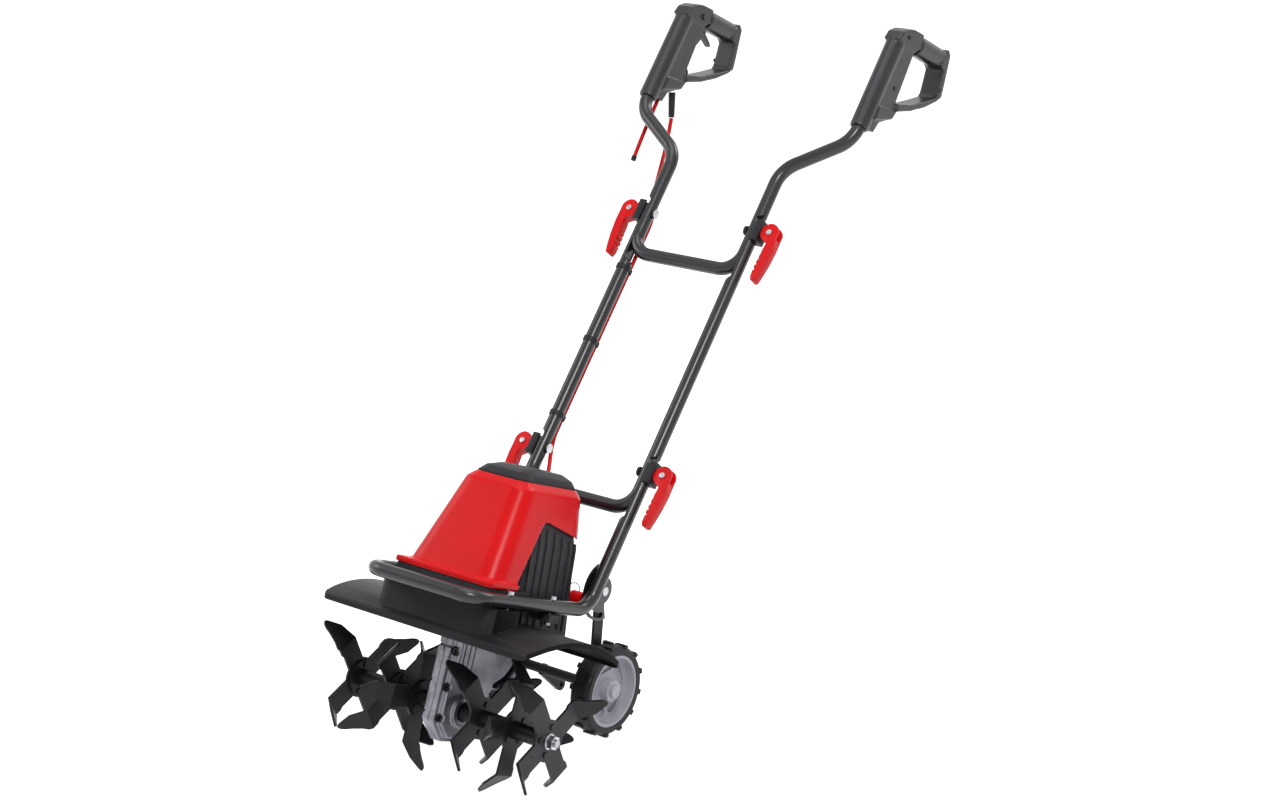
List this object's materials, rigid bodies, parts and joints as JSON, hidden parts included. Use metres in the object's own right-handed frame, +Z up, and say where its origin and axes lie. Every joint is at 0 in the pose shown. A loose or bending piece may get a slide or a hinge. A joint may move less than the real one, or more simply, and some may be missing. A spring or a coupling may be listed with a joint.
{
  "type": "electric tiller",
  "caption": "Walk-behind electric tiller: leaned worm drive to star tines under an arched deck, swing-up transport wheels and a two-part folding handle with closed grips.",
  "frame": {"origin": "middle of the bounding box at ground level", "axes": "+X to the operator's right, +Y from the tines towards the operator, +Z up, standing on the tines and the wheels"},
  "size_m": [0.4606, 1.1288, 1.0275],
  "materials": {
    "frame_paint": "gloss dark grey paint",
    "deck_paint": "satin black paint",
    "housing_plastic": "dark grey moulded plastic",
    "cover_plastic": "gloss red moulded plastic",
    "black_plastic": "black moulded plastic",
    "red_plastic": "gloss red moulded plastic",
    "zinc": "zinc plated",
    "steel": "ground steel",
    "tine_steel": "black coated steel",
    "case_metal": "cast, bare",
    "copper": "enamelled copper windings",
    "bronze": "bronze",
    "rim_plastic": "light grey moulded plastic",
    "tyre_rubber": "matt rubber",
    "grip_plastic": "dark grey moulded plastic",
    "lead_rubber": "red rubber sheath",
    "black_rubber": "black rubber"
  },
  "bodies": {
    "machine": {"lower_frame": "frame_paint", "wheel_brackets": "frame_paint", "frame_bolts": "zinc", "deck": "deck_paint", "motor_housing": "housing_plastic", "motor_cover": "cover_plastic", "motor_cap": "black_plastic", "stator": "steel", "brush_holders": "black_plastic", "ball_bearings": "steel", "gear_case_left": "case_metal", "gear_case_right": "case_metal", "case_screws": "zinc", "shaft_seals": "black_rubber", "case_guard_rim": "zinc", "lower_clamps": "zinc", "motor_lead_lower": "lead_rubber"},
    "rotor": {"motor_shaft": "steel", "worm": "steel", "armature": "copper", "cooling_fan": "black_plastic"},
    "tines": {"tine_shaft": "steel", "worm_wheel": "bronze", "star_left_outer": "tine_steel", "star_left_middle": "tine_steel", "star_left_inner": "tine_steel", "star_right_inner": "tine_steel", "star_right_middle": "tine_steel", "star_right_outer": "tine_steel", "hub_sleeves": "tine_steel", "tine_rivets": "tine_steel", "shaft_nuts": "zinc"},
    "carriage": {"wheel_carriage": "deck_paint", "wheel_axle": "zinc", "axle_caps": "zinc"},
    "left_wheel": {"left_rim": "rim_plastic", "left_tyre": "tyre_rubber"},
    "right_wheel": {"right_rim": "rim_plastic", "right_tyre": "tyre_rubber"},
    "left_lock": {"left_lock_knob": "red_plastic"},
    "right_lock": {"right_lock_knob": "red_plastic"},
    "lower_left_lever": {"lower_left_lever": "red_plastic"},
    "lower_right_lever": {"lower_right_lever": "red_plastic"},
    "upper_left_lever": {"upper_left_lever": "red_plastic"},
    "upper_right_lever": {"upper_right_lever": "red_plastic"},
    "middle_frame": {"middle_frame": "frame_paint", "upper_clamps": "zinc", "motor_lead_middle": "lead_rubber", "cable_clips": "black_plastic"},
    "upper_frame": {"upper_frame": "frame_paint", "left_grip": "grip_plastic", "right_grip": "grip_plastic", "switch_body": "black_plastic", "grip_screws": "zinc", "strain_relief": "black_plastic", "motor_lead_upper": "lead_rubber", "mains_lead": "lead_rubber", "lead_cap": "black_rubber"},
    "trigger": {"trigger": "black_plastic"},
    "lock_button": {"lock_button": "black_plastic"}
  },
  "joints": [
    {"name": "tine_spin", "type": "hinge", "parent": "machine", "child": "tines", "pos_m": [0, -0.46601, 0.09835], "axis": [1, 0, 0], "continuous": true},
    {"name": "rotor_spin", "type": "hinge", "parent": "machine", "child": "rotor", "pos_m": [0, -0.42351, 0.08075], "axis": [0, 0.3827, 0.9239], "continuous": true},
    {"name": "carriage_swing", "type": "hinge", "parent": "machine", "child": "carriage", "pos_m": [0, -0.21301, 0.22835], "axis": [1, 0, 0], "range_deg": [0, 75]},
    {"name": "left_wheel_spin", "type": "hinge", "parent": "carriage", "child": "left_wheel", "pos_m": [-0.112, -0.23151, 0.0743], "axis": [1, 0, 0], "continuous": true},
    {"name": "right_wheel_spin", "type": "hinge", "parent": "carriage", "child": "right_wheel", "pos_m": [0.112, -0.23151, 0.0743], "axis": [1, 0, 0], "continuous": true},
    {"name": "left_lock_pull", "type": "slide", "parent": "carriage", "child": "left_lock", "axis": [1, 0, 0], "range_m": [0, 0.006], "stiffness_N_per_m": 400},
    {"name": "right_lock_pull", "type": "slide", "parent": "carriage", "child": "right_lock", "axis": [-1, 0, 0], "range_m": [0, 0.006], "stiffness_N_per_m": 400},
    {"name": "lower_left_lever_swing", "type": "hinge", "parent": "machine", "child": "lower_left_lever", "pos_m": [-0.1397, -0.1144, 0.39557], "axis": [0, 0.7559, -0.6547], "range_deg": [0, 110]},
    {"name": "lower_right_lever_swing", "type": "hinge", "parent": "machine", "child": "lower_right_lever", "pos_m": [0.1397, -0.1144, 0.39557], "axis": [0, -0.7559, 0.6547], "range_deg": [0, 110]},
    {"name": "upper_left_lever_swing", "type": "hinge", "parent": "middle_frame", "child": "upper_left_lever", "pos_m": [-0.1397, 0.17041, 0.72437], "axis": [0, 0.7559, -0.6547], "range_deg": [0, 110]},
    {"name": "upper_right_lever_swing", "type": "hinge", "parent": "middle_frame", "child": "upper_right_lever", "pos_m": [0.1397, 0.17041, 0.72437], "axis": [0, -0.7559, 0.6547], "range_deg": [0, 110]},
    {"name": "lower_fold", "type": "hinge", "parent": "machine", "child": "middle_frame", "pos_m": [0, -0.1144, 0.39557], "axis": [1, 0, 0], "range_deg": [0, 105], "deforming": ["motor_lead_lower"]},
    {"name": "upper_fold", "type": "hinge", "parent": "middle_frame", "child": "upper_frame", "pos_m": [0, 0.17041, 0.72437], "axis": [1, 0, 0], "range_deg": [-120, 0], "deforming": ["motor_lead_upper"]},
    {"name": "trigger_pull", "type": "hinge", "parent": "upper_frame", "child": "trigger", "pos_m": [-0.2108, 0.46088, 0.97417], "axis": [1, 0, 0], "range_deg": [0, 18], "stiffness_Nm_per_rad": 0.3, "springref_deg": -8.59},
    {"name": "lock_button_press", "type": "slide", "parent": "upper_frame", "child": "lock_button", "axis": [-1, 0, 0], "range_m": [0, 0.004], "stiffness_N_per_m": 400}
  ],
  "couplings": [
    {"joint": "rotor_spin", "follows": "tine_spin", "ratio": -36}
  ]
}
